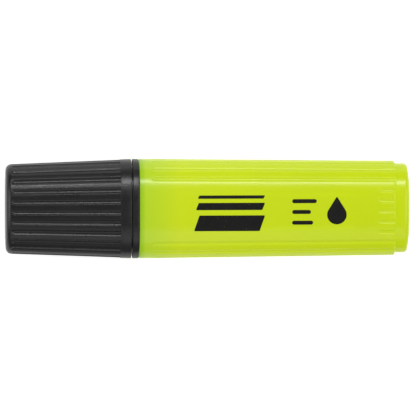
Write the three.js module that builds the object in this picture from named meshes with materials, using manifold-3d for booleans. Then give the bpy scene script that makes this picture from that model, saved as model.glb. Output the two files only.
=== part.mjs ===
// A desk highlighter: a flat-oval barrel that holds a wrapped fibre filler, a nib holder with a chisel nib
// pressed into its front, a plug pressed into its rear, and a ribbed cap with a sealing inner cap.
//
// Units are millimetres and +Z is up. The pen lies on one of its broad faces, with the cap towards -X and
// the plug towards +X, and the origin is below its middle, on the surface that it lies on. Each piece is
// drawn about the pen's own axis, with x measured from the cap's flat end.

import * as THREE from "three";
import { mergeVertices } from "three/addons/utils/BufferGeometryUtils.js";
import Module from "manifold-3d";

const wasm = await Module();
wasm.setup();

// ---- Driving dimensions ----

const LENGTH = 112;
const COLLAR_HALF_WIDTH = 13.78; // where the pen is widest
const DEPTH_RATIO = 0.62; // depth of each outer section to its width
const SECTION_POWER = 2.5; // the exponent of the superellipse that the sections follow

// Places along the pen.
const CAP_RIBS_END = 31.7;
const CAP_MOUTH = 34.75;
const COLLAR_START = 35.1;
const COLLAR_END = 36.85;
const BARREL_START = 36.95;
const SIDE_GROOVES_START = 40.3;
const PANEL_GROOVES_START = 103.2;
const BARREL_END = 107.9;
const PLUG_HEAD_START = 108;

// Outer half widths, between which the cap and the barrel taper evenly.
const CAP_END_HALF_WIDTH = 12.36;
const CAP_RIBS_END_HALF_WIDTH = 13.55;
const CAP_BAND_START_HALF_WIDTH = 13.67;
const CAP_MOUTH_HALF_WIDTH = 13.77;
const BARREL_END_HALF_WIDTH = 13.06;

// Grooves run along the pen at equal steps round its section. Those in the middle of each broad face of the
// barrel are cut short at its rear end, which leaves a smooth panel in front of them.
const GROOVE_COUNT = 24;
const PANEL_REACH = 2; // how many of the panel's grooves lie on each side of its middle one
const GROOVE_RUN_OUT = 0.5;
// Half the width of a groove at its lips and at its floor, as shares of the step between grooves.
const CAP_GROOVE = { depth: 0.34, lip: 0.28, floor: 0.12 };
const BARREL_GROOVE = { depth: 0.24, lip: 0.21, floor: 0.09 };

const CAP_CORNER = 1.5;
const BARREL_CORNER = 0.4;
const PLUG_CORNER = 0.9;
const EDGE = 0.3; // rounding of the other edges
const CORNER_STEPS = 3;

const CAP_WALL = 1.3;
const BARREL_WALL = 1.4;
const HOLDER_WALL = 1.1;
const INNER_CAP_WALL = 0.9;
const PLUG_WALL = 1.1;
const FIT = 0.12; // clearance between pieces that are pressed together
const SLIDE_FIT = 0.35; // clearance between the cap and what it slides over

// ---- Sections ----

const QUARTER_STEPS = 1000;
const quarters = new Map();

// Points round a quarter of the superellipse |y|^n + |z / ratio|^n = 1, each with its distance round the
// quarter from the middle of the broad face.
function quarter(ratio, power) {
  const key = `${ratio} ${power}`;
  if (!quarters.has(key)) {
    const points = [{ y: 0, z: ratio, distance: 0 }];
    for (let i = 1; i <= QUARTER_STEPS; i++) {
      const angle = ((i / QUARTER_STEPS) * Math.PI) / 2;
      const y = Math.sin(angle) ** (2 / power);
      const z = ratio * Math.cos(angle) ** (2 / power);
      const last = points[i - 1];
      points.push({ y, z, distance: last.distance + Math.hypot(y - last.y, z - last.z) });
    }
    quarters.set(key, points);
  }
  return quarters.get(key);
}

// The point of a section at a turn from 0 to 1 round it, from the middle of its upper face. Equal steps of
// turn are equal lengths of the section. The point is then moved in from the surface by inset.
function sectionPoint(turn, { halfWidth, halfDepth, power, inset }) {
  const points = quarter(halfDepth / halfWidth, power);
  const distance = THREE.MathUtils.pingpong(4 * turn, 1) * points[QUARTER_STEPS].distance;
  const next = Math.max(1, points.findIndex((point) => point.distance >= distance));
  const [before, after] = [points[next - 1], points[next]];
  const mix = (distance - before.distance) / (after.distance - before.distance);
  const y = THREE.MathUtils.lerp(before.y, after.y, mix) * halfWidth;
  const z = THREE.MathUtils.lerp(before.z, after.z, mix) * halfWidth;
  const normal = new THREE.Vector2(
    (y / halfWidth) ** (power - 1) / halfWidth,
    (z / halfDepth) ** (power - 1) / halfDepth,
  ).normalize();
  const ySign = -Math.sign(Math.sin(2 * Math.PI * turn));
  const zSign = Math.sign(Math.cos(2 * Math.PI * turn));
  return { y: ySign * (y - inset * normal.x), z: zSign * (z - inset * normal.y) };
}

// Columns are the turns at which a piece has its points. One on the floor of a groove says how many grooves
// it is from the middle of the nearer broad face.
const PLAIN_COLUMNS = Array.from({ length: 2 * GROOVE_COUNT }, (_, i) => ({ turn: i / (2 * GROOVE_COUNT) }));

function ribbedColumns({ lip, floor }) {
  return Array.from({ length: GROOVE_COUNT }, (_, groove) => {
    const fromFace = THREE.MathUtils.pingpong(groove, GROOVE_COUNT / 4);
    return [-floor, floor, lip, 0.5, 1 - lip].map((step) => ({
      turn: (groove + step) / GROOVE_COUNT,
      fromFace: Math.abs(step) === floor ? fromFace : undefined,
    }));
  }).flat();
}

function grooveDepth({ panelGroove = 0, sideGroove = 0 }, { fromFace }) {
  if (fromFace === undefined) return 0;
  return fromFace <= PANEL_REACH ? panelGroove : sideGroove;
}

// ---- Solids ----

function toSolid(geometry) {
  const bare = geometry.clone();
  bare.deleteAttribute("normal");
  bare.deleteAttribute("uv");
  const merged = mergeVertices(bare);
  const vertProperties = merged.getAttribute("position").array;
  const triVerts = new Uint32Array(merged.index.array);
  return new wasm.Manifold(new wasm.Mesh({ numProp: 3, vertProperties, triVerts }));
}

function toGeometry(solid) {
  const { vertProperties, triVerts } = solid.getMesh();
  const geometry = new THREE.BufferGeometry();
  geometry.setAttribute("position", new THREE.BufferAttribute(vertProperties, 3));
  geometry.setIndex(new THREE.BufferAttribute(triVerts, 1));
  return geometry;
}

// A solid turned about the pen's axis, with each ring of its profile pushed out to a section instead of a
// circle. A ring is { x, halfWidth, halfDepth, power, inset, sideGroove, panelGroove }, and one without a
// half width is a point on the axis.
function turned(rings, columns = PLAIN_COLUMNS) {
  const profile = rings.map(({ x, halfWidth = 0 }) => new THREE.Vector2(halfWidth, x));
  const geometry = new THREE.LatheGeometry(profile, columns.length);
  const position = geometry.getAttribute("position");
  for (let i = 0; i < position.count; i++) {
    const ring = rings[i % rings.length];
    const column = columns[Math.floor(i / rings.length) % columns.length];
    const { halfWidth, halfDepth = halfWidth * DEPTH_RATIO, power = SECTION_POWER, inset = 0 } = ring;
    const section = { halfWidth, halfDepth, power, inset: inset + grooveDepth(ring, column) };
    const { y, z } = halfWidth ? sectionPoint(column.turn, section) : { y: 0, z: 0 };
    position.setXYZ(i, ring.x, y, z);
  }
  return toSolid(geometry);
}

// A box that spans a range of each of x, y and z, whichever way round the range's ends are given.
function box(...ranges) {
  const sizes = ranges.map(([from, to]) => Math.abs(to - from));
  const middles = ranges.map(([from, to]) => (from + to) / 2);
  return toSolid(new THREE.BoxGeometry(...sizes).translate(...middles));
}

// The steps that round an edge, from the end's face to the side: how far each is from the end along the
// pen, and how far it is inset from the side.
function roundedEdge(radius) {
  return Array.from({ length: CORNER_STEPS + 1 }, (_, i) => {
    const angle = ((i / CORNER_STEPS) * Math.PI) / 2;
    return { along: radius * (1 - Math.cos(angle)), inset: radius * (1 - Math.sin(angle)) };
  });
}

const capHalfWidth = (x) =>
  THREE.MathUtils.mapLinear(x, 0, CAP_RIBS_END, CAP_END_HALF_WIDTH, CAP_RIBS_END_HALF_WIDTH);
const barrelHalfWidth = (x) =>
  THREE.MathUtils.mapLinear(x, BARREL_START, BARREL_END, COLLAR_HALF_WIDTH, BARREL_END_HALF_WIDTH);
const onCap = (x, more) => ({ x, halfWidth: capHalfWidth(x), ...more });
const onBarrel = (x, more) => ({ x, halfWidth: barrelHalfWidth(x), ...more });

// ---- Cap ----

const CAP_FLOOR = 1.8;
const INNER_CAP = { halfWidth: 7.8, halfDepth: 6 };
const INNER_CAP_MOUTH = 21;
const HOLDING_RIB = { length: 12, thickness: 0.9, level: 2.6 };

// Two pairs of ribs on the inside of the cap's narrow sides hold the inner cap. Each starts in the wall.
function holdingRibs() {
  const { length, thickness, level } = HOLDING_RIB;
  const inWall = CAP_END_HALF_WIDTH - CAP_WALL / 2;
  return [-1, 1].flatMap((side) =>
    [-level, level].map((z) =>
      box(
        [CAP_FLOOR - CAP_WALL / 2, CAP_FLOOR + length],
        [side * (INNER_CAP.halfWidth + FIT), side * inWall],
        [z - thickness / 2, z + thickness / 2],
      ),
    ),
  );
}

function capShell() {
  const grooves = { sideGroove: CAP_GROOVE.depth, panelGroove: CAP_GROOVE.depth };
  const corner = roundedEdge(CAP_CORNER).map(({ along, inset }) => onCap(along, { inset }));
  const shell = turned(
    [
      { x: 0 },
      ...corner,
      onCap(CAP_CORNER + GROOVE_RUN_OUT, grooves),
      onCap(CAP_RIBS_END, grooves),
      { x: CAP_RIBS_END, halfWidth: CAP_BAND_START_HALF_WIDTH },
      { x: CAP_MOUTH - EDGE, halfWidth: CAP_MOUTH_HALF_WIDTH },
      { x: CAP_MOUTH, halfWidth: CAP_MOUTH_HALF_WIDTH, inset: EDGE },
      { x: CAP_MOUTH, halfWidth: CAP_MOUTH_HALF_WIDTH, inset: CAP_WALL },
      onCap(CAP_FLOOR, { inset: CAP_WALL }),
      { x: CAP_FLOOR },
    ],
    ribbedColumns(CAP_GROOVE),
  );
  return holdingRibs().reduce((whole, rib) => whole.add(rib), shell);
}

// The cup inside the cap that closes round the nib holder's nose, so that the nib doesn't dry.
function innerCap() {
  const start = CAP_FLOOR + FIT;
  const ring = (x, inset) => ({ x, ...INNER_CAP, inset });
  return turned([
    { x: start },
    ring(start, EDGE),
    ring(start + EDGE, 0),
    ring(INNER_CAP_MOUTH, 0),
    ring(INNER_CAP_MOUTH, INNER_CAP_WALL),
    ring(start + INNER_CAP_WALL, INNER_CAP_WALL),
    { x: start + INNER_CAP_WALL },
  ]);
}

// ---- Nib and nib holder ----

const NIB = { halfWidth: 2.5, halfDepth: 1.8, power: 6 }; // a rounded rectangle
const NIB_TIP = 8.6;
const NIB_TAIL = 33;
const NIB_SLANT = 2.2; // how far the near end of the writing edge is behind the far end
const NIB_BEVEL = 4.2;
const WRITING_EDGE_HALF = 0.5;

const TUBE = { halfWidth: 3.8, halfDepth: 3.1 };
const NOSE = { halfWidth: 6.7, halfDepth: 4.9 };
const TUBE_TIP = 14.5;
const NOSE_START = 17;
const NOSE_END = 23;
const GRIP_START = 24.4;
const TUBE_END = 29.5;
const SPIGOT_END = 45;
const GRIP_SLOPE = 1.2; // how much narrower the grip is at its front than behind, on each side
const SNAP_BEAD = { x: 32.4, rise: 0.2, halfLength: 0.7 };

// The nib is a bar cut twice: slanted from above, and bevelled from the side down to its writing edge.
function nib() {
  const bar = turned([{ x: 0 }, { x: 0, ...NIB }, { x: NIB_TAIL, ...NIB }, { x: NIB_TAIL }]);
  const [width, depth] = [2 * NIB.halfWidth, 2 * NIB.halfDepth];
  const beyond = NIB_TAIL + depth;
  const slanted = new THREE.Shape([
    new THREE.Vector2(NIB_TIP + NIB_SLANT + NIB_SLANT / 2, -width),
    new THREE.Vector2(beyond, -width),
    new THREE.Vector2(beyond, width),
    new THREE.Vector2(NIB_TIP - NIB_SLANT / 2, width),
  ]);
  const bevelled = new THREE.Shape([
    new THREE.Vector2(NIB_TIP, -WRITING_EDGE_HALF),
    new THREE.Vector2(NIB_TIP + NIB_BEVEL, -NIB.halfDepth),
    new THREE.Vector2(NIB_TIP + NIB_BEVEL, -depth),
    new THREE.Vector2(beyond, -depth),
    new THREE.Vector2(beyond, depth),
    new THREE.Vector2(NIB_TIP + NIB_BEVEL, depth),
    new THREE.Vector2(NIB_TIP + NIB_BEVEL, NIB.halfDepth),
    new THREE.Vector2(NIB_TIP, WRITING_EDGE_HALF),
  ]);
  const through = { depth: 2 * width, bevelEnabled: false };
  const fromAbove = new THREE.ExtrudeGeometry(slanted, through).translate(0, 0, -width);
  const fromSide = new THREE.ExtrudeGeometry(bevelled, through).rotateX(Math.PI / 2).translate(0, width, 0);
  return bar.intersect(toSolid(fromAbove)).intersect(toSolid(fromSide));
}

// One moulding: the nose with the nib's tube through it, the grip that the cap slides over, the collar that
// the cap stops against, and the spigot inside the barrel.
function nibHolder() {
  const bore = { halfWidth: NIB.halfWidth + FIT, halfDepth: NIB.halfDepth + FIT, power: NIB.power };
  const inCap = CAP_WALL + SLIDE_FIT;
  const inBarrel = BARREL_WALL + FIT;
  const grip = (x, inset) => onCap(x, { inset: inCap + inset });
  const collar = (x, inset) => ({ x, halfWidth: COLLAR_HALF_WIDTH, inset });
  const { x: beadX, rise, halfLength } = SNAP_BEAD;
  return turned([
    { x: TUBE_TIP, ...bore },
    { x: TUBE_TIP, ...TUBE, inset: EDGE },
    { x: NOSE_START - EDGE, ...NOSE, inset: EDGE },
    { x: NOSE_START, ...NOSE },
    { x: NOSE_END, ...NOSE },
    grip(GRIP_START, GRIP_SLOPE),
    grip(beadX - halfLength, 0),
    grip(beadX, -rise),
    grip(beadX + halfLength, 0),
    grip(COLLAR_START, 0),
    collar(COLLAR_START, EDGE),
    collar(COLLAR_START + EDGE, 0),
    collar(COLLAR_END - EDGE, 0),
    collar(COLLAR_END, EDGE),
    onBarrel(COLLAR_END, { inset: inBarrel }),
    onBarrel(SPIGOT_END, { inset: inBarrel }),
    onBarrel(SPIGOT_END, { inset: inBarrel + HOLDER_WALL }),
    onBarrel(COLLAR_END, { inset: inBarrel + HOLDER_WALL }),
    grip(COLLAR_START, HOLDER_WALL),
    grip(GRIP_START + HOLDER_WALL, GRIP_SLOPE + HOLDER_WALL),
    { x: GRIP_START + HOLDER_WALL, ...TUBE },
    { x: TUBE_END, ...TUBE },
    { x: TUBE_END, ...bore },
    { x: TUBE_TIP, ...bore },
  ]);
}

// ---- Filler ----

const FILLER = { halfWidth: 9.5, halfDepth: 4.5 };
const FILLER_START = 31;
const FILLER_END = 100;
const FILM_GAP = 0.1;
const FILM_THICKNESS = 0.25;

const wider = ({ halfWidth, halfDepth }, by) => ({ halfWidth: halfWidth + by, halfDepth: halfDepth + by });

// The bundle of fibres that holds the ink, with a pocket in its front for the nib's tail.
function inkFiller() {
  const bundle = turned([
    { x: FILLER_START },
    { x: FILLER_START, ...FILLER },
    { x: FILLER_END, ...FILLER },
    { x: FILLER_END },
  ]);
  const pocket = wider(NIB, FIT);
  return bundle.subtract(
    box(
      [FILLER_START - FIT, NIB_TAIL + FIT],
      [-pocket.halfWidth, pocket.halfWidth],
      [-pocket.halfDepth, pocket.halfDepth],
    ),
  );
}

function fillerFilm() {
  const inside = wider(FILLER, FILM_GAP);
  const outside = wider(FILLER, FILM_GAP + FILM_THICKNESS);
  return turned([
    { x: FILLER_START, ...inside },
    { x: FILLER_START, ...outside },
    { x: FILLER_END, ...outside },
    { x: FILLER_END, ...inside },
    { x: FILLER_START, ...inside },
  ]);
}

// ---- Barrel ----

const GUIDE_RIB = { start: 50, end: 96, thickness: 1, fromMiddle: 4.5 };

// Ribs inside the barrel keep the filler in its middle with air round it: one on each narrow side, and two on
// each broad face. Each starts in the wall.
function guideRibs() {
  const { start, end, thickness, fromMiddle } = GUIDE_RIB;
  const held = wider(FILLER, FILM_GAP + FILM_THICKNESS + FIT);
  const inWall = BARREL_END_HALF_WIDTH - BARREL_WALL / 2;
  const length = [start, end];
  const around = (middle) => [middle - thickness / 2, middle + thickness / 2];
  return [-1, 1].flatMap((side) => [
    box(length, [side * held.halfWidth, side * inWall], around(0)),
    ...[-fromMiddle, fromMiddle].map((y) =>
      box(length, around(y), [side * held.halfDepth, side * inWall * DEPTH_RATIO]),
    ),
  ]);
}

function barrel() {
  const sideOnly = { sideGroove: BARREL_GROOVE.depth };
  const allRound = { sideGroove: BARREL_GROOVE.depth, panelGroove: BARREL_GROOVE.depth };
  const shell = turned(
    [
      onBarrel(BARREL_START, { inset: BARREL_WALL }),
      onBarrel(BARREL_START, { inset: EDGE }),
      onBarrel(BARREL_START + EDGE),
      onBarrel(SIDE_GROOVES_START),
      onBarrel(SIDE_GROOVES_START + GROOVE_RUN_OUT, sideOnly),
      onBarrel(PANEL_GROOVES_START, sideOnly),
      onBarrel(PANEL_GROOVES_START + GROOVE_RUN_OUT, allRound),
      onBarrel(BARREL_END - BARREL_CORNER, allRound),
      onBarrel(BARREL_END, { inset: BARREL_CORNER }),
      onBarrel(BARREL_END, { inset: BARREL_WALL }),
      onBarrel(BARREL_START, { inset: BARREL_WALL }),
    ],
    ribbedColumns(BARREL_GROOVE),
  );
  return guideRibs().reduce((whole, rib) => whole.add(rib), shell);
}

// ---- End plug ----

const PLUG_STEP = 0.69; // how far the plug's head is set in from the barrel's surface
const PLUG_SKIRT_START = 98.5;
const PLUG_FLOOR = LENGTH - 1.8;
// The end is crowned: how far its rings stand in from its flat, and their size as a share of the barrel's.
const PLUG_CROWN = 0.6;
const PLUG_SHOULDER = { drop: 0.2, share: 0.78 };
const PLUG_FLAT_SHARE = 0.5;

function endPlug() {
  const skirt = (x, inset) => onBarrel(x, { inset: BARREL_WALL + FIT + inset });
  const head = (x, inset) => ({ x, halfWidth: BARREL_END_HALF_WIDTH, inset: PLUG_STEP + inset });
  const edge = roundedEdge(PLUG_CORNER)
    .map(({ along, inset }) => head(LENGTH - PLUG_CROWN - along, inset))
    .reverse();
  return turned([
    { x: PLUG_FLOOR },
    skirt(PLUG_FLOOR, PLUG_WALL),
    skirt(PLUG_SKIRT_START, PLUG_WALL),
    skirt(PLUG_SKIRT_START, EDGE),
    skirt(PLUG_SKIRT_START + EDGE, 0),
    skirt(PLUG_HEAD_START, 0),
    head(PLUG_HEAD_START, 0),
    ...edge,
    { x: LENGTH - PLUG_SHOULDER.drop, halfWidth: PLUG_SHOULDER.share * BARREL_END_HALF_WIDTH },
    { x: LENGTH, halfWidth: PLUG_FLAT_SHARE * BARREL_END_HALF_WIDTH },
    { x: LENGTH },
  ]);
}

// ---- Assembly ----

const plastic = (color, roughness) => new THREE.MeshStandardMaterial({ color, roughness, flatShading: true });
const black = plastic("#2b2c2e", 0.45);
const yellow = plastic("#c9dc2a", 0.35);
const white = plastic("#e8e8e2", 0.5);
const fibre = plastic("#d7ee3c", 0.95);
const film = plastic("#e3ef9a", 0.3);

function piece(name, solid, material) {
  const mesh = new THREE.Mesh(toGeometry(solid), material);
  mesh.name = name;
  return mesh;
}

const cap = new THREE.Group();
cap.add(piece("cap_shell", capShell(), black));
cap.add(piece("inner_cap", innerCap(), white));

const pen = new THREE.Group();
pen.add(piece("nib_holder", nibHolder(), black));
pen.add(piece("nib", nib(), fibre));
pen.add(piece("barrel", barrel(), yellow));
pen.add(piece("end_plug", endPlug(), yellow));
pen.add(piece("ink_filler", inkFiller(), fibre));
pen.add(piece("filler_film", fillerFilm(), film));

const highlighter = new THREE.Group();
highlighter.add(cap, pen);
highlighter.position.set(-LENGTH / 2, 0, COLLAR_HALF_WIDTH * DEPTH_RATIO);

export default highlighter;
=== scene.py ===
"""A desk highlighter with its cap on, lying on a pale floor under soft studio light.

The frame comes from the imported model: metres, +X along the pen from the cap to the plug, +Z up. The pieces
are drawn again here with fine surfaces. Their sizes are in millimetres, along the pen from the cap's flat
end and about the pen's own axis, and to_metres() puts them in the frame.
"""

import math

import bmesh
import bpy
import numpy as np
from mathutils import Matrix, Vector


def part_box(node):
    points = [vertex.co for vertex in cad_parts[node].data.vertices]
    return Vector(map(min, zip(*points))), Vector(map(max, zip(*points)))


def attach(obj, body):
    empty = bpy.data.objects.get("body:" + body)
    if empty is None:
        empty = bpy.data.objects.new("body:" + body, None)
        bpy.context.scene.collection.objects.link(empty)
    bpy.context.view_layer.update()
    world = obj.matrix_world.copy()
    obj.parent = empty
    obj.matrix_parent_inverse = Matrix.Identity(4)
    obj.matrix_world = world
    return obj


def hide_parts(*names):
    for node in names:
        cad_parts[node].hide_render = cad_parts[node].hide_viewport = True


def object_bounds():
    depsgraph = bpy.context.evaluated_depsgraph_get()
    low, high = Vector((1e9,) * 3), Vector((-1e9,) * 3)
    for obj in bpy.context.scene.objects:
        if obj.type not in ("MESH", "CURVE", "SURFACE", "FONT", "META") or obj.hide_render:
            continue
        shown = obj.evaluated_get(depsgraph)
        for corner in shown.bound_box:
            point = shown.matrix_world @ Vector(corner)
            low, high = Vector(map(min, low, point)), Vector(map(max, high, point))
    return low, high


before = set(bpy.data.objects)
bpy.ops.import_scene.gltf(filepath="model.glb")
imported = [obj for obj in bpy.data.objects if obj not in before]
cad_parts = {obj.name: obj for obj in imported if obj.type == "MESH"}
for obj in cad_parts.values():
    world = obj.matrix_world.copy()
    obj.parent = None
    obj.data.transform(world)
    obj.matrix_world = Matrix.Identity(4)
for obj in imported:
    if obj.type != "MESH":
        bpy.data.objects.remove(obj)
cad_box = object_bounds()

MM = 0.001

# ---- Sizes that come from the frame ----

START_X = cad_box[0].x
AXIS_Z = (cad_box[0].z + cad_box[1].z) / 2
LENGTH = (cad_box[1].x - cad_box[0].x) / MM


def span(node):
    """Where a CAD node starts and ends along the pen."""
    low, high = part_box(node)
    return (low.x - START_X) / MM, (high.x - START_X) / MM


def half_size(node):
    """Half of a CAD node's greatest width and half of its greatest depth."""
    low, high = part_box(node)
    return (high.y - low.y) / 2 / MM, (high.z - low.z) / 2 / MM


CAP_MOUTH = span("cap_shell")[1]
CAP_MOUTH_HALF_WIDTH = half_size("cap_shell")[0]
INNER_CAP_START, INNER_CAP_MOUTH = span("inner_cap")
INNER_CAP_WIDTH, INNER_CAP_DEPTH = half_size("inner_cap")
TUBE_TIP, SPIGOT_END = span("nib_holder")
COLLAR_HALF_WIDTH = half_size("nib_holder")[0]
NIB_TIP, NIB_TAIL = span("nib")
NIB_WIDTH, NIB_DEPTH = half_size("nib")
BARREL_START, BARREL_END = span("barrel")
PLUG_SKIRT_START = span("end_plug")[0]
FILLER_START, FILLER_END = span("ink_filler")
FILLER_WIDTH, FILLER_DEPTH = half_size("ink_filler")
FILM_WIDTH, FILM_DEPTH = half_size("filler_film")

# ---- Sizes of the fine surfaces ----

DEPTH_RATIO = 0.62  # depth of an outer section as a share of its width
SECTION_POWER = 2.5  # the exponent of the superellipse that the sections follow

# Grooves run along the pen at equal steps round its section. A groove's share is half its width against
# that step, and its lip is how much its edges are rounded off.
GROOVE_COUNT = 24
CAP_GROOVE = {"half_width": 0.83, "depth": 0.34, "share": 0.28, "lip": 0.025}
BARREL_GROOVE = {"half_width": 0.62, "depth": 0.24, "share": 0.21, "lip": 0.03}

CAP_END_HALF_WIDTH = 12.36
CAP_RIBS_END = 31.7
CAP_RIBS_END_HALF_WIDTH = 13.55
CAP_BAND_START_HALF_WIDTH = 13.67
CAP_CORNER = 1.5
CAP_RIBS_EDGE = 0.05
CAP_GROOVE_START = 1.45
CAP_WALL = 1.3
CAP_FLOOR = 1.8
INNER_CAP_WALL = 0.9

COLLAR_START = CAP_MOUTH + 0.35
COLLAR_END = BARREL_START - 0.18
COLLAR_EDGE = 0.12

BARREL_END_HALF_WIDTH = 13.06
BARREL_EDGE = 0.15
BARREL_CORNER = 0.4
BARREL_WALL = 1.4
SIDE_GROOVES_START = 40.3
PANEL_GROOVES_START = 103.2
PANEL_REACH = 2  # how many of the panel's grooves lie on each side of its middle one

PLUG_STEP = 0.69
PLUG_STEP_EDGE = 0.05
PLUG_GAP = 0.02
PLUG_WALL = 1.1
PLUG_CORNER = 0.9
PLUG_CROWN = 0.6
PLUG_FLOOR = LENGTH - 1.8

FIT = 0.12  # clearance between pieces that are pressed together
SLIDE_FIT = 0.35  # clearance between the cap and the grip inside it
EDGE = 0.3  # rounding of the other edges

# ---- How finely the surfaces are divided ----

QUARTER_POINTS = 4001
PLAIN_TURNS = np.arange(192) / 192
# Columns from a groove's middle out onto the land beside it, and rings along a groove's round end, both as
# shares of its half width. The ring before the end keeps the surface there smooth.
GROOVE_COLUMNS = np.array([0, 0.3, 0.58, 0.8, 0.94, 1.03, 1.15, 1.4])
GROOVE_END_RINGS = np.array([-0.15, 0, 0.1, 0.25, 0.45, 0.7, 1, 1.3])
CAP_RINGS = np.linspace(3, CAP_RIBS_END - 0.3, 16)
CAP_INSIDE_RINGS = (28, 20, 12, 6)
CAP_END_SHARES = (0.3, 0.6)
GRIP_RINGS = np.linspace(25, COLLAR_START, 40)
NIB_RINGS = np.linspace(0.5, 5, 19)
BARREL_RINGS = np.linspace(43, 101, 20)
BARREL_INSIDE_RINGS = (BARREL_END, 80, 60, BARREL_START)
CROWN_SHARES = np.linspace(0.1, 1, 10)
MERGE_DISTANCE = 1e-7
SHARP_ANGLE = math.radians(40)


# ---- Sections ----

def quarter(ratio, power):
    """Points round a quarter of a superellipse, and how far round the quarter each is, from 0 to 1."""
    angle = np.linspace(0, math.pi / 2, QUARTER_POINTS)
    y = np.sin(angle) ** (2 / power)
    z = ratio * np.cos(angle) ** (2 / power)
    distance = np.concatenate([[0], np.cumsum(np.hypot(np.diff(y), np.diff(z)))])
    return y, z, distance / distance[-1]


def section(turns, width, depth, power, inset):
    """Points of a section at turns from 0 to 1 round it, from its top towards +Y, moved in by inset."""
    y, z, distance = quarter(depth / width, power)
    place = 1 - np.abs((4 * turns) % 2 - 1)
    y = np.interp(place, distance, y) * width
    z = np.interp(place, distance, z) * width
    normal_y = (y / width) ** (power - 1) / width
    normal_z = (z / depth) ** (power - 1) / depth
    size = np.hypot(normal_y, normal_z)
    y = (y - inset * normal_y / size) * np.sign(np.sin(2 * math.pi * turns))
    z = (z - inset * normal_z / size) * np.sign(np.cos(2 * math.pi * turns))
    return y, z


def ring(x, width=0, inset=0.0, depth=None, power=SECTION_POWER):
    """One ring of a turned surface. A ring with no width is a point on the axis."""
    return {"x": x, "width": width, "depth": depth or width * DEPTH_RATIO, "power": power, "inset": inset}


def to_metres(x, y, z):
    return np.stack([START_X + x * MM, y * MM, AXIS_Z + z * MM], axis=-1)


def ribbed_turns(groove):
    """Turns of the columns of a ribbed piece, which gather at its grooves."""
    steps = GROOVE_COLUMNS * groove["share"]
    around = np.concatenate([-steps[:0:-1], steps, [0.5]])
    return ((np.arange(GROOVE_COUNT)[:, None] + around) / GROOVE_COUNT).ravel()


def link(piece):
    bpy.context.collection.objects.link(piece)
    return piece


def finish_mesh(bm, mesh):
    """Writes a closed mesh with its faces pointing out, smooth but for its sharp edges."""
    bmesh.ops.remove_doubles(bm, verts=bm.verts, dist=MERGE_DISTANCE)
    bmesh.ops.recalc_face_normals(bm, faces=bm.faces)
    bm.to_mesh(mesh)
    bm.free()
    mesh.shade_smooth()
    mesh.set_sharp_from_angle(angle=SHARP_ANGLE)


def turned(name, rings, turns=PLAIN_TURNS):
    """A mesh object turned about the pen's axis. Rings run from one end of its outline to the other."""
    count = len(turns)
    points, starts = [], []
    for each in rings:
        starts.append(sum(len(p) for p in points))
        if each["width"]:
            y, z = section(turns, each["width"], each["depth"], each["power"], each["inset"])
            points.append(to_metres(np.full(count, each["x"]), y, z))
        else:
            points.append(to_metres(np.array([each["x"]]), np.zeros(1), np.zeros(1)))
    faces = []
    for (a, first), (b, second) in zip(zip(starts, rings), zip(starts[1:], rings[1:])):
        for i in range(count):
            j = (i + 1) % count
            corners = [a + j if first["width"] else a, a + i if first["width"] else a,
                       b + i if second["width"] else b, b + j if second["width"] else b]
            faces.append(list(dict.fromkeys(corners)))
    mesh = bpy.data.meshes.new(name)
    mesh.from_pydata(np.concatenate(points).tolist(), [], faces)
    bm = bmesh.new()
    bm.from_mesh(mesh)
    finish_mesh(bm, mesh)
    return link(bpy.data.objects.new(name, mesh))


def add_bars(piece, bars, edge=0.1):
    """Adds closed bars with bevelled edges to a piece. Each bar is three ranges, of x, y and z."""
    bm = bmesh.new()
    bm.from_mesh(piece.data)
    for ranges in bars:
        low, high = (np.array(side) for side in zip(*(sorted(each) for each in ranges)))
        verts = bmesh.ops.create_cube(bm, size=1)["verts"]
        for vert in verts:
            vert.co = to_metres(*(low + (high - low) * (np.array(vert.co) + 0.5)))
        edges = {each for vert in verts for each in vert.link_edges}
        bmesh.ops.bevel(bm, geom=list(edges), offset=edge * MM, segments=2, affect="EDGES")
    finish_mesh(bm, piece.data)


def corner(radius, steps=6):
    """A rounded edge, from the end's face round to the side, as (along, inset) pairs."""
    angles = np.linspace(0, math.pi / 2, steps + 1)
    return [(radius * (1 - math.cos(a)), radius * (1 - math.sin(a))) for a in angles]


def rounded_inset(radius, from_end):
    """The inset of a rounded edge at a distance from the end that it rounds."""
    short = max(0.0, radius - from_end)
    return radius - math.sqrt(radius ** 2 - short ** 2)


def groove_cut(x, turns, groove, start):
    """How far a groove, an arc in section, cuts in at each turn. It has a round end at its start."""
    half_width, depth = groove["half_width"], groove["depth"]
    across = ((turns * GROOVE_COUNT + 0.5) % 1 - 0.5) / groove["share"]
    before = max(0.0, start + half_width - x) / half_width
    out = np.hypot(across, before)
    radius = (half_width ** 2 + depth ** 2) / (2 * depth)
    rise = radius - depth
    inside = np.sqrt(radius ** 2 - (np.minimum(out, 1) * half_width) ** 2) - rise
    outside = np.maximum(out - 1, 0) * half_width * half_width / rise
    cut = inside - outside
    return (cut + np.sqrt(cut ** 2 + groove["lip"] ** 2)) / 2


def groove_end(groove, start):
    """Places of the rings along a groove's round end."""
    return list(start + groove["half_width"] * GROOVE_END_RINGS)


# ---- Cap ----

HOLDING_RIB_LENGTH = 12
HOLDING_RIB_HALF_THICKNESS = 0.45
HOLDING_RIB_LEVEL = 2.6
BAND_EDGE = 0.06
MOUTH_INNER_EDGE = 0.2

# Outlines near the cap's and the inner cap's floors and at the inner cap's lip, which is thinned so that it
# seals. Each point is a distance along the pen from the floor or the lip, and an inset.
CAP_FLOOR_FILLET = ((0.6, 0), (0.15, 0.15), (0, 0.6))
INNER_CAP_FILLET = ((0.5, 0), (0.1, 0.1), (0, 0.5))
SEALING_LIP = ((1.2, 0), (1.1, 0.15), (0.2, 0.3), (0, 0.45))
INNER_CAP_CORNER = 0.6
INNER_CAP_MOUTH_EDGE = 0.1


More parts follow.
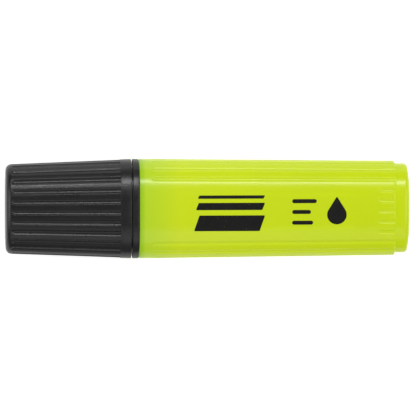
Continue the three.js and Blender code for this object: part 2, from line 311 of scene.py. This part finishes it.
def cap_half_width(x):
    return CAP_END_HALF_WIDTH + (CAP_RIBS_END_HALF_WIDTH - CAP_END_HALF_WIDTH) * x / CAP_RIBS_END


def holding_ribs():
    """Two pairs of ribs on the inside of the cap's narrow sides, which hold the inner cap."""
    length = (CAP_FLOOR - CAP_WALL / 2, CAP_FLOOR + HOLDING_RIB_LENGTH)
    inner, outer = INNER_CAP_WIDTH + FIT, CAP_END_HALF_WIDTH - CAP_WALL / 2
    return [(length, (side * inner, side * outer),
             (level - HOLDING_RIB_HALF_THICKNESS, level + HOLDING_RIB_HALF_THICKNESS))
            for side in (-1, 1) for level in (-HOLDING_RIB_LEVEL, HOLDING_RIB_LEVEL)]


def make_cap_shell():
    """The ribbed shell, drawn from the middle of its end, along its outside and back along its inside."""
    turns = ribbed_turns(CAP_GROOVE)
    stations = [along for along, _ in corner(CAP_CORNER, 10)] + groove_end(CAP_GROOVE, CAP_GROOVE_START)
    stations += list(CAP_RINGS) + [CAP_RIBS_END - CAP_RIBS_EDGE, CAP_RIBS_END]
    rings = [ring(0)] + [ring(0, cap_half_width(0) * share) for share in CAP_END_SHARES]
    for x in sorted(stations):
        cut = groove_cut(x, turns, CAP_GROOVE, CAP_GROOVE_START)
        rings.append(ring(x, cap_half_width(x), rounded_inset(CAP_CORNER, x) + cut))
    rings += [ring(CAP_RIBS_END + along, CAP_BAND_START_HALF_WIDTH, inset)
              for along, inset in corner(BAND_EDGE, 3)]
    edge = [ring(CAP_MOUTH - along, CAP_MOUTH_HALF_WIDTH, inset) for along, inset in corner(COLLAR_EDGE, 4)]
    rings += edge[::-1]
    rings += [ring(CAP_MOUTH - along, CAP_MOUTH_HALF_WIDTH, CAP_WALL - inset)
              for along, inset in corner(MOUTH_INNER_EDGE, 3)]
    rings += [ring(x, cap_half_width(x), CAP_WALL) for x in CAP_INSIDE_RINGS]
    rings += [ring(CAP_FLOOR + along, cap_half_width(CAP_FLOOR), CAP_WALL + inset)
              for along, inset in CAP_FLOOR_FILLET]
    rings += [ring(CAP_FLOOR, cap_half_width(CAP_FLOOR) * 0.5), ring(CAP_FLOOR)]
    shell = turned("cap", rings, turns)
    add_bars(shell, holding_ribs())
    return shell


def make_inner_cap():
    """The cup that closes round the nib holder's nose."""
    start, wall, mouth_edge = INNER_CAP_START, INNER_CAP_WALL, INNER_CAP_MOUTH_EDGE
    outline = [(start + along, inset) for along, inset in corner(INNER_CAP_CORNER)]
    outline += [(INNER_CAP_MOUTH - along, inset) for along, inset in SEALING_LIP]
    outline += [(INNER_CAP_MOUTH, wall - mouth_edge), (INNER_CAP_MOUTH - mouth_edge, wall)]
    outline += [(start + wall + along, wall + inset) for along, inset in INNER_CAP_FILLET]
    rings = [ring(x, INNER_CAP_WIDTH, inset, depth=INNER_CAP_DEPTH) for x, inset in outline]
    return turned("sealing_cup", [ring(start)] + rings + [ring(start + wall)])


# ---- Barrel ----

GUIDE_RIBS = (50, 96)
GUIDE_RIB_HALF_THICKNESS = 0.5
GUIDE_RIB_FROM_MIDDLE = 4.5


def barrel_half_width(x):
    share = (x - BARREL_START) / (BARREL_END - BARREL_START)
    return COLLAR_HALF_WIDTH + (BARREL_END_HALF_WIDTH - COLLAR_HALF_WIDTH) * share


def guide_ribs():
    """Ribs inside the barrel that keep the filler in its middle."""
    in_wall = BARREL_END_HALF_WIDTH - BARREL_WALL / 2
    half = GUIDE_RIB_HALF_THICKNESS
    bars = []
    for side in (-1, 1):
        bars.append((GUIDE_RIBS, (side * (FILM_WIDTH + FIT), side * in_wall), (-half, half)))
        bars += [(GUIDE_RIBS, (y - half, y + half), (side * (FILM_DEPTH + FIT), side * in_wall * DEPTH_RATIO))
                 for y in (-GUIDE_RIB_FROM_MIDDLE, GUIDE_RIB_FROM_MIDDLE)]
    return bars


def make_barrel():
    """The barrel's shell. Its long grooves are on its narrow sides, its short ones behind the panels."""
    turns = ribbed_turns(BARREL_GROOVE)
    nearest = np.round(turns * GROOVE_COUNT) % (GROOVE_COUNT / 2)
    from_face = np.minimum(nearest, GROOVE_COUNT / 2 - nearest)
    starts = np.where(from_face <= PANEL_REACH, PANEL_GROOVES_START, SIDE_GROOVES_START)
    stations = [BARREL_START + along for along, _ in corner(BARREL_EDGE, 4)]
    stations += groove_end(BARREL_GROOVE, SIDE_GROOVES_START) + groove_end(BARREL_GROOVE, PANEL_GROOVES_START)
    stations += list(BARREL_RINGS)
    stations += [BARREL_END - along for along, _ in corner(BARREL_CORNER)]
    rings = []
    for x in sorted(stations):
        cut = np.zeros(len(turns))
        for start in (SIDE_GROOVES_START, PANEL_GROOVES_START):
            here = starts == start
            cut[here] = groove_cut(x, turns[here], BARREL_GROOVE, start)
        rounding = rounded_inset(BARREL_EDGE, x - BARREL_START) + rounded_inset(BARREL_CORNER, BARREL_END - x)
        rings.append(ring(x, barrel_half_width(x), np.maximum(cut, rounding)))
    rings += [ring(x, barrel_half_width(x), BARREL_WALL) for x in BARREL_INSIDE_RINGS]
    shell = turned("barrel", rings + rings[:1], turns)
    add_bars(shell, guide_ribs())
    return shell


# ---- Nib and nib holder ----

TUBE = {"width": 3.8, "depth": 3.1}
NOSE = {"width": 6.7, "depth": 4.9}
NOSE_START = 17
NOSE_END = 23
NOSE_STEPS = ((-0.6, 0), (-0.35, -0.25))  # where the tube meets the nose, as (along, inset) pairs
NOSE_FOOT = 0.1
GRIP_START = 24.4
GRIP_SLOPE = 1.2
TUBE_END = 29.5
HOLDER_WALL = 1.1
SNAP_BEAD = 32.4
SNAP_BEAD_RISE = 0.2
SNAP_BEAD_REACH = 0.4
NIB_POWER = 6
BORE = {"width": NIB_WIDTH + FIT, "depth": NIB_DEPTH + FIT, "power": NIB_POWER}

NIB_SLANT = 2.2
NIB_BEVEL = 4.2
NIB_EDGE = 0.25
WRITING_EDGE_HALF = 0.5


def grip_inset(x):
    """How far the grip is inside the cap's outer surface, with its slope and its snap bead."""
    slope = GRIP_SLOPE * max(0.0, (CAP_RIBS_END - x) / (CAP_RIBS_END - GRIP_START))
    bead = SNAP_BEAD_RISE * math.exp(-((x - SNAP_BEAD) / SNAP_BEAD_REACH) ** 2)
    return CAP_WALL + SLIDE_FIT + slope - bead


def make_holder():
    """The holder, drawn from the nib's bore along its outside to the spigot, and back along its inside."""
    in_barrel = BARREL_WALL + FIT
    collar = [(COLLAR_START + along, inset) for along, inset in corner(COLLAR_EDGE, 4)]
    collar += [(COLLAR_END - along, inset) for along, inset in corner(COLLAR_EDGE, 4)][::-1]
    rings = [ring(TUBE_TIP, **BORE)]
    rings += [ring(TUBE_TIP + along, inset=inset, **TUBE) for along, inset in corner(EDGE)]
    rings += [ring(NOSE_START + along, inset=inset, **TUBE) for along, inset in NOSE_STEPS]
    rings += [ring(NOSE_START - EDGE + along, inset=inset, **NOSE) for along, inset in corner(EDGE)]
    rings += [ring(NOSE_END, **NOSE), ring(NOSE_END + NOSE_FOOT, inset=-NOSE_FOOT, **NOSE)]
    rings += [ring(GRIP_START + along - EDGE, cap_half_width(GRIP_START), grip_inset(GRIP_START) + inset)
              for along, inset in corner(EDGE)]
    rings += [ring(x, cap_half_width(x), grip_inset(x)) for x in GRIP_RINGS]
    rings += [ring(x, COLLAR_HALF_WIDTH, inset) for x, inset in collar]
    rings += [ring(x, barrel_half_width(x), in_barrel) for x in (COLLAR_END, SPIGOT_END)]
    rings += [ring(x, barrel_half_width(x), in_barrel + HOLDER_WALL) for x in (SPIGOT_END, COLLAR_END)]
    inside = GRIP_START + HOLDER_WALL
    rings += [ring(x, cap_half_width(x), grip_inset(x) + HOLDER_WALL) for x in (COLLAR_START, inside)]
    rings += [ring(x, **TUBE) for x in (inside, TUBE_END)]
    rings += [ring(x, **BORE) for x in (TUBE_END, TUBE_TIP)]
    return turned("nib_holder_shell", rings)


def nib_half_depth(x):
    share = min(1.0, max(0.0, (x - NIB_TIP) / NIB_BEVEL))
    return WRITING_EDGE_HALF + (NIB_DEPTH - WRITING_EDGE_HALF) * share


def make_nib():
    """A bar that is bevelled from above and below down to a slanted writing edge."""
    outline = corner(NIB_EDGE, 4) + [(along, 0) for along in NIB_RINGS]
    rings = [ring(NIB_TIP + along, NIB_WIDTH, inset, depth=NIB_DEPTH, power=NIB_POWER)
             for along, inset in outline]
    rings.append(ring(NIB_TAIL, NIB_WIDTH, depth=NIB_DEPTH, power=NIB_POWER))
    nib = turned("felt_nib", [ring(NIB_TIP)] + rings + [ring(NIB_TAIL)])
    for vert in nib.data.vertices:
        along = (vert.co.x - START_X) / MM - NIB_TIP
        if along < NIB_BEVEL + NIB_SLANT:
            cut = NIB_SLANT * (0.5 - vert.co.y / MM / NIB_WIDTH / 2)
            along = cut + along * (1 - cut / (NIB_BEVEL + NIB_SLANT))
            vert.co.x = START_X + (NIB_TIP + along) * MM
            vert.co.z = AXIS_Z + (vert.co.z - AXIS_Z) * nib_half_depth(NIB_TIP + along) / NIB_DEPTH
    return nib


# ---- Plug ----

def make_plug():
    """The plug, drawn from the middle of its hollow inside, round its skirt and head, to its crowned end."""
    head = BARREL_END_HALF_WIDTH
    head_start = BARREL_END + PLUG_GAP
    in_barrel = BARREL_WALL + FIT
    skirt = [(PLUG_FLOOR, PLUG_WALL), (PLUG_SKIRT_START, PLUG_WALL), (PLUG_SKIRT_START, EDGE),
             (PLUG_SKIRT_START + EDGE, 0), (head_start, 0)]
    rings = [ring(PLUG_FLOOR)] + [ring(x, barrel_half_width(x), in_barrel + inset) for x, inset in skirt]
    rings += [ring(head_start + along, head, PLUG_STEP + inset) for along, inset in corner(PLUG_STEP_EDGE, 2)]
    edge = [ring(LENGTH - PLUG_CROWN - along, head, PLUG_STEP + inset)
            for along, inset in corner(PLUG_CORNER, 8)]
    rings += edge[::-1]
    rim = head - PLUG_STEP - PLUG_CORNER
    for share in CROWN_SHARES:
        rings.append(ring(LENGTH - PLUG_CROWN * (1 - share) ** 2, rim * (1 - share / 2)))
    rings += [ring(LENGTH, rim * 0.25), ring(LENGTH)]
    return turned("plug", rings)


# ---- Filler ----

FILLER_TURNS = np.arange(480) / 480
STRAND_DEPTH = 0.06
STRAND_PAIRS = 60
FILM_GAP = 0.1


def make_filler():
    """The bundle of fibres, whose outside is ridged a little by the strands."""
    strands = STRAND_DEPTH * np.sin(FILLER_TURNS * math.tau * STRAND_PAIRS) ** 2
    outline = [(FILLER_START + along, inset) for along, inset in corner(EDGE, 3)]
    outline += [(FILLER_END - along, inset) for along, inset in corner(EDGE, 3)][::-1]
    rings = [ring(x, FILLER_WIDTH, inset + strands, depth=FILLER_DEPTH) for x, inset in outline]
    return turned("fibre_bundle", [ring(FILLER_START)] + rings + [ring(FILLER_END)], FILLER_TURNS)


def make_film():
    thickness = FILM_WIDTH - FILLER_WIDTH - FILM_GAP
    ends = ((FILLER_START, thickness), (FILLER_START, 0), (FILLER_END, 0), (FILLER_END, thickness),
            (FILLER_START, thickness))
    return turned("wrap", [ring(x, FILM_WIDTH, inset, depth=FILM_DEPTH) for x, inset in ends])


# ---- Print ----
# Three plain marks on the upper broad face: strokes of three widths, three short bars, and a drop.

PRINT_RAISE = 0.025
PRINT_STEP = 0.4

STROKES = ((53, 4.1, 0.9), (52.5, 1.5, 2), (52, -3.2, 4.4))  # start, level and thickness of each
STROKES_END = 71.5
STROKE_LEAN = 0.3  # how far an end slants, against the stroke's thickness
STROKE_CORNER = 0.25
BARS = ((85.9, 2.9), (84.3, -0.1), (84.9, -3.1))  # end and level of each
BARS_START = 79.1
BAR_THICKNESS = 1.1
DROP_MIDDLE = (91.5, -0.9)
DROP_RADIUS = 2.7
DROP_HEIGHT = 7.6
DROP_TIP_RADIUS = 0.2


def face_height(x, y):
    """The height of the barrel's broad face above the pen's axis."""
    width = barrel_half_width(x)
    return width * DEPTH_RATIO * (1 - abs(y / width) ** SECTION_POWER) ** (1 / SECTION_POWER)


def arc(middle, radius, start, end, steps=12):
    """Points of an arc between two angles in degrees."""
    angles = np.radians(np.linspace(start, end, steps + 1))
    return [(middle[0] + radius * math.cos(a), middle[1] + radius * math.sin(a)) for a in angles]


def bar_outline(start, end, y, thickness):
    """A bar with round ends."""
    radius = thickness / 2
    return arc((end - radius, y), radius, -90, 90) + arc((start + radius, y), radius, 90, 270)


def stroke_outline(start, end, y, thickness):
    """A pen stroke: its ends slant as a chisel nib leaves them, and its corners are rounded."""
    lean = thickness * STROKE_LEAN
    radius = min(STROKE_CORNER, thickness / 5)
    low = y - thickness / 2 + radius
    high = y + thickness / 2 - radius
    middles = ((end - lean - radius, low), (end - radius, high),
               (start + lean + radius, high), (start + radius, low))
    points = []
    for place, middle in enumerate(middles):
        points += arc(middle, radius, 90 * (place - 1), 90 * place, 4)
    return points


def drop_outline(middle, radius, height):
    """A drop whose straight shoulders meet in a rounded point at its top."""
    tip = DROP_TIP_RADIUS
    open_angle = math.degrees(math.acos((radius - tip) / (height - radius - tip)))
    top = (middle[0], middle[1] + height - radius - tip)
    return (arc(middle, radius, 90 + open_angle, 450 - open_angle, 48)
            + arc(top, tip, 90 - open_angle, 90 + open_angle, 6))


def make_print(name, outlines):
    """Thin raised ink on the barrel's face, cut into strips so that it bends as the face does."""
    bm = bmesh.new()
    for outline in outlines:
        face = bm.faces.new([bm.verts.new((x, y, 0)) for x, y in outline])
        ys = [y for _, y in outline]
        parts = [face, *face.edges, *face.verts]
        for y in np.arange(math.floor(min(ys)), max(ys), PRINT_STEP)[1:]:
            cut = bmesh.ops.bisect_plane(bm, geom=parts, plane_co=(0, y, 0), plane_no=(0, 1, 0))
            parts = cut["geom"]
    top = bmesh.ops.extrude_face_region(bm, geom=list(bm.faces), use_keep_orig=True)["geom"]
    raised = {item for item in top if isinstance(item, bmesh.types.BMVert)}
    for vert in bm.verts:
        lift = PRINT_RAISE if vert in raised else -PRINT_RAISE
        vert.co = to_metres(vert.co.x, vert.co.y, face_height(vert.co.x, vert.co.y) + lift)
    mesh = bpy.data.meshes.new(name)
    finish_mesh(bm, mesh)
    return link(bpy.data.objects.new(name, mesh))


def make_prints():
    strokes = [stroke_outline(start, STROKES_END, y, thickness) for start, y, thickness in STROKES]
    bars = [bar_outline(BARS_START, end, y, BAR_THICKNESS) for end, y in BARS]
    return [make_print("printed_strokes", strokes),
            make_print("printed_bars", bars),
            make_print("printed_drop", [drop_outline(DROP_MIDDLE, DROP_RADIUS, DROP_HEIGHT)])]


# ---- Materials ----
# Colours are given from 0 to 255, as screens show them. A pair is the two ends of a mix.

BLACKS = ((8, 8, 9), (14, 14, 15))
WORN_BLACK = (52, 52, 54)
YELLOW_FRONT = (194, 213, 30)
YELLOW_REAR = (185, 206, 0)
YELLOW_PATCHES = (195, 214, 12)
# Painted shade: the barrel's colours over the spigot and beside the collar, darker and greener where the
# black spigot behind the translucent wall takes the light.
YELLOW_SHADED_BY_SPIGOT = (163, 201, 44)
YELLOW_SHADED_AT_COLLAR = (140, 184, 20)
INKS = ((7, 7, 6), (14, 14, 11))
PINHOLES = (120, 132, 20)
NATURALS = ((232, 231, 222), (214, 212, 200))
WRAPS = ((226, 238, 150), (208, 226, 110))
FELTS = ((226, 240, 66), (176, 205, 20))
STRANDS = ((222, 238, 80), (170, 200, 30))
FLOOR_WHITE = (240, 240, 240)

MOST_OF_NOISE = (0.3, 0.7)  # the range that holds most of a noise's values
# Painted glow: the yellow plastic gives off light of its own colour, which lifts it evenly and flattens its
# shading.
YELLOW_PAINTED_GLOW = 0.35  # what the fluorescent plastic gives back beyond plain diffuse light
# Painted shade: how far the darkening beside the collar, and the greener darkening past the spigot's end,
# reach along the barrel.
COLLAR_SHADE_LENGTH = 1.6  # how far the dark tint beside the collar reaches along the barrel
SHADE_PAST_SPIGOT = 3  # how far the greener tint reaches past the spigot's end


def linear(red, green, blue):
    """A colour given from 0 to 255 as screens show it."""
    def channel(value):
        value /= 255
        return value / 12.92 if value <= 0.04045 else ((value + 0.055) / 1.055) ** 2.4
    return (channel(red), channel(green), channel(blue), 1)


def new_material(name):
    material = bpy.data.materials.new(name)
    material.use_nodes = True
    tree = material.node_tree
    return material, tree, tree.nodes["Principled BSDF"]


def add(tree, kind, **values):
    """Adds a node. Values are set on its inputs, or on itself where it has no such input."""
    node = tree.nodes.new(kind)
    for key, value in values.items():
        name = key.replace("_", " ").title()
        if name in node.inputs:
            node.inputs[name].default_value = value
        else:
            setattr(node, key, value)
    return node


def noise(tree, scale, detail=3, stretch=1):
    """Noise in the piece's own space. A stretch draws it out along the pen."""
    place = add(tree, "ShaderNodeTexCoord")
    mapping = add(tree, "ShaderNodeMapping", scale=(1 / stretch, 1, 1))
    texture = add(tree, "ShaderNodeTexNoise", scale=scale, detail=detail)
    tree.links.new(place.outputs["Object"], mapping.inputs["Vector"])
    tree.links.new(mapping.outputs["Vector"], texture.inputs["Vector"])
    return texture.outputs["Fac"]


def spread(tree, value, start, end, low, high):
    """Maps a value from the range start to end onto the range low to high."""
    node = add(tree, "ShaderNodeMapRange", from_min=start, from_max=end, to_min=low, to_max=high)
    tree.links.new(value, node.inputs["Value"])
    return node.outputs["Result"]


def mixed(tree, factor, first, second):
    """A mix of two colours. Each is a colour from 0 to 255, or another node's output."""
    node = add(tree, "ShaderNodeMix", data_type="RGBA")
    tree.links.new(factor, node.inputs["Factor"])
    for socket, colour in ((node.inputs["A"], first), (node.inputs["B"], second)):
        if isinstance(colour, tuple):
            socket.default_value = linear(*colour)
        else:
            tree.links.new(colour, socket)
    return node.outputs["Result"]


def set_bump(tree, shader, height, depth):
    """Bumps the surface by a height from 0 to 1. The depth is in millimetres."""
    bump = add(tree, "ShaderNodeBump", strength=1, distance=depth * MM)
    tree.links.new(height, bump.inputs["Height"])
    tree.links.new(bump.outputs["Normal"], shader.inputs["Normal"])


def worn_edges(tree, amount):
    """From 0 to amount where the surface turns sharply outwards."""
    geometry = add(tree, "ShaderNodeNewGeometry")
    return spread(tree, geometry.outputs["Pointiness"], 0.51, 0.58, 0, amount)


def black_plastic(name):
    """Satin plastic from a spark-eroded mould, a little polished and paler along its edges."""
    material, tree, shader = new_material(name)
    colour = mixed(tree, noise(tree, 150, detail=4), *BLACKS)
    colour = mixed(tree, worn_edges(tree, 0.35), colour, WORN_BLACK)
    tree.links.new(colour, shader.inputs["Base Color"])
    polish = spread(tree, noise(tree, 400, stretch=4), *MOST_OF_NOISE, 0.24, 0.34)
    tree.links.new(polish, shader.inputs["Roughness"])
    set_bump(tree, shader, noise(tree, 3600, detail=3), 0.03)
    shader.inputs["Specular IOR Level"].default_value = 0.65
    return material


def yellow_plastic(name):
    """Translucent fluorescent plastic with painted shade: greener and darker where the black spigot is close
    behind it. It also carries an even painted glow that flattens its shading.
    """
    material, tree, shader = new_material(name)
    place = add(tree, "ShaderNodeTexCoord")
    parts = add(tree, "ShaderNodeSeparateXYZ")
    tree.links.new(place.outputs["Object"], parts.inputs["Vector"])
    behind = START_X + BARREL_START * MM
    spigot_end = START_X + SPIGOT_END * MM
    rear = START_X + LENGTH * MM
    # Painted shade: darker beside the collar and greener over the spigot, where the spigot behind the wall
    # takes the light.
    shade_at_collar = spread(tree, parts.outputs["X"], behind, behind + COLLAR_SHADE_LENGTH * MM, 1, 0)
    shade_by_spigot = spread(tree, parts.outputs["X"], behind, spigot_end + SHADE_PAST_SPIGOT * MM, 0.75, 0)
    towards_rear = spread(tree, parts.outputs["X"], spigot_end, rear, 0, 1)
    colour = mixed(tree, towards_rear, YELLOW_FRONT, YELLOW_REAR)
    colour = mixed(tree, noise(tree, 45, detail=2), colour, YELLOW_PATCHES)
    colour = mixed(tree, shade_by_spigot, colour, YELLOW_SHADED_BY_SPIGOT)
    colour = mixed(tree, shade_at_collar, colour, YELLOW_SHADED_AT_COLLAR)
    tree.links.new(colour, shader.inputs["Base Color"])
    # Painted glow: the plastic gives off its own colour, painted shade included, at an even strength.
    tree.links.new(colour, shader.inputs["Emission Color"])
    shader.inputs["Emission Strength"].default_value = YELLOW_PAINTED_GLOW
    polish = spread(tree, noise(tree, 300, stretch=3), *MOST_OF_NOISE, 0.16, 0.22)
    tree.links.new(polish, shader.inputs["Roughness"])
    set_bump(tree, shader, noise(tree, 1800, detail=3), 0.004)
    shader.inputs["Subsurface Weight"].default_value = 0.25
    shader.inputs["Subsurface Radius"].default_value = (1, 0.9, 0.15)
    shader.inputs["Subsurface Scale"].default_value = 1.2 * MM
    return material


def fibre(name, light, dark, stretch):
    """Fibres soaked with ink. They run along the pen."""
    material, tree, shader = new_material(name)
    strands = noise(tree, 5000, detail=4, stretch=stretch)
    tree.links.new(mixed(tree, strands, dark, light), shader.inputs["Base Color"])
    shader.inputs["Roughness"].default_value = 0.85
    shader.inputs["Sheen Weight"].default_value = 0.2
    set_bump(tree, shader, strands, 0.06)
    return material


def soft_plastic(name, light, dark, roughness):
    """Unfilled plastic with faint flow marks from the mould."""
    material, tree, shader = new_material(name)
    flow = noise(tree, 160, detail=5, stretch=2)
    tree.links.new(mixed(tree, flow, dark, light), shader.inputs["Base Color"])
    polish = spread(tree, flow, *MOST_OF_NOISE, roughness, roughness + 0.12)
    tree.links.new(polish, shader.inputs["Roughness"])
    set_bump(tree, shader, noise(tree, 1500, detail=3), 0.008)
    shader.inputs["Subsurface Weight"].default_value = 0.3
    shader.inputs["Subsurface Radius"].default_value = (1, 1, 0.9)
    shader.inputs["Subsurface Scale"].default_value = 0.8 * MM
    return material


def printed_ink(name):
    """Screen-printed ink, a little uneven, with pinholes where it is worn."""
    material, tree, shader = new_material(name)
    pinholes = spread(tree, noise(tree, 2200, detail=3), 0.68, 0.74, 0, 0.5)
    colour = mixed(tree, noise(tree, 600, detail=3), *INKS)
    tree.links.new(mixed(tree, pinholes, colour, PINHOLES), shader.inputs["Base Color"])
    polish = spread(tree, noise(tree, 500), *MOST_OF_NOISE, 0.35, 0.5)
    tree.links.new(polish, shader.inputs["Roughness"])
    set_bump(tree, shader, noise(tree, 3000), 0.004)
    shader.inputs["Specular IOR Level"].default_value = 0.3
    return material


# ---- Assembly ----

def install(piece, body, material, node=None):
    """Gives a piece its material and body. Where a node is named, the piece stands for it."""
    piece.data.materials.append(material)
    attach(piece, body)
    if node:
        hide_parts(node)


black = black_plastic("black_plastic")
yellow = yellow_plastic("yellow_plastic")
natural = soft_plastic("natural_plastic", *NATURALS, roughness=0.35)
clear_wrap = soft_plastic("wrap_film", *WRAPS, roughness=0.2)
felt = fibre("ink_felt", *FELTS, stretch=12)
bundle = fibre("ink_fibres", *STRANDS, stretch=40)
ink = printed_ink("print_ink")

install(make_cap_shell(), "cap", black, "cap_shell")
install(make_inner_cap(), "cap", natural, "inner_cap")
install(make_holder(), "pen", black, "nib_holder")
install(make_nib(), "pen", felt, "nib")
install(make_barrel(), "pen", yellow, "barrel")
install(make_plug(), "pen", yellow, "end_plug")
install(make_filler(), "pen", bundle, "ink_filler")
install(make_film(), "pen", clear_wrap, "filler_film")
for mark in make_prints():
    install(mark, "pen", ink)


# ---- Stage ----

MIDDLE = Vector((0, 0, AXIS_Z))

CAMERA_DISTANCE = 2.5
CAMERA_SIDE = Vector((-0.05, 0.118, 0.99))  # from the pen towards the camera
CAMERA_UP = Vector((-0.0028, 1, 0))
VIEW_MIDDLE = MIDDLE + Vector((0.18, 0.1, 0)) * MM
VIEW_WIDTH = 115.44 * MM

FLOOR_HALF_SIZE = 3.0
# How strongly the floor and the backdrop shine, first as lights and then as the camera sees them.
FLOOR_GLOW = (0.2, 0.65)
BACKDROP_GLOW = (0.21, 0.95)

LIGHT_DISTANCE = 1.2
# Name, direction from the pen, size in metres and power in watts of each softbox.
LIGHTS = (
    ("key_softbox", (0, 0.56, 0.83), (0.9, 0.17), 4),
    ("front_fill", (0, -0.6, 0.8), (1.4, 0.6), 1.6),
    ("back_strip", (0, 1, 0.08), (1.4, 0.3), 1.2),
    ("left_softbox", (-1, 0, 0.7), (1, 0.6), 3),
    ("right_softbox", (1, 0, 1.2), (1, 0.6), 3),
)


def camera_or_light(tree, glow):
    """A strength that has one value as a light and another to the camera."""
    path = add(tree, "ShaderNodeLightPath")
    return spread(tree, path.outputs["Is Camera Ray"], 0, 1, *glow)


def make_floor():
    """A white floor with a glow that keeps it pale under the pen and lights the pen only a little."""
    mesh = bpy.data.meshes.new("floor")
    size = FLOOR_HALF_SIZE
    corners = [(-size, -size, 0), (size, -size, 0), (size, size, 0), (-size, size, 0)]
    mesh.from_pydata(corners, [], [(0, 1, 2, 3)])
    floor = link(bpy.data.objects.new("floor", mesh))
    material, tree, shader = new_material("floor_paper")
    shader.inputs["Base Color"].default_value = linear(*FLOOR_WHITE)
    shader.inputs["Roughness"].default_value = 0.9
    shader.inputs["Emission Color"].default_value = (1, 1, 1, 1)
    tree.links.new(camera_or_light(tree, FLOOR_GLOW), shader.inputs["Emission Strength"])
    mesh.materials.append(material)


def aim(thing, place, target, up=Vector((0, 1, 0))):
    """Puts a camera or a light at place, looking at target, with up towards the top of its view."""
    back = (place - target).normalized()
    right = up.cross(back).normalized()
    turn = Matrix((right, back.cross(right), back)).transposed().to_4x4()
    thing.matrix_world = Matrix.Translation(place) @ turn


def make_light(name, direction, size, power):
    data = bpy.data.lights.new(name, "AREA")
    data.shape = "RECTANGLE"
    data.size, data.size_y = size
    data.energy = power
    light = link(bpy.data.objects.new(name, data))
    aim(light, MIDDLE + Vector(direction).normalized() * LIGHT_DISTANCE, MIDDLE)


def make_camera():
    data = bpy.data.cameras.new("camera")
    data.lens = data.sensor_width * CAMERA_DISTANCE / VIEW_WIDTH
    data.clip_end = 20
    camera = link(bpy.data.objects.new("camera", data))
    aim(camera, VIEW_MIDDLE + CAMERA_SIDE.normalized() * CAMERA_DISTANCE, VIEW_MIDDLE, CAMERA_UP)
    bpy.context.scene.camera = camera


def make_world():
    """Dim light from all round, in front of a pale backdrop."""
    world = bpy.data.worlds.new("studio")
    world.use_nodes = True
    tree = world.node_tree
    background = tree.nodes["Background"]
    tree.links.new(camera_or_light(tree, BACKDROP_GLOW), background.inputs["Strength"])
    background.inputs["Color"].default_value = (1, 1, 1, 1)
    bpy.context.scene.world = world
    bpy.context.scene.view_settings.view_transform = "Standard"


make_camera()
make_floor()
make_world()
for light in LIGHTS:
    make_light(*light)
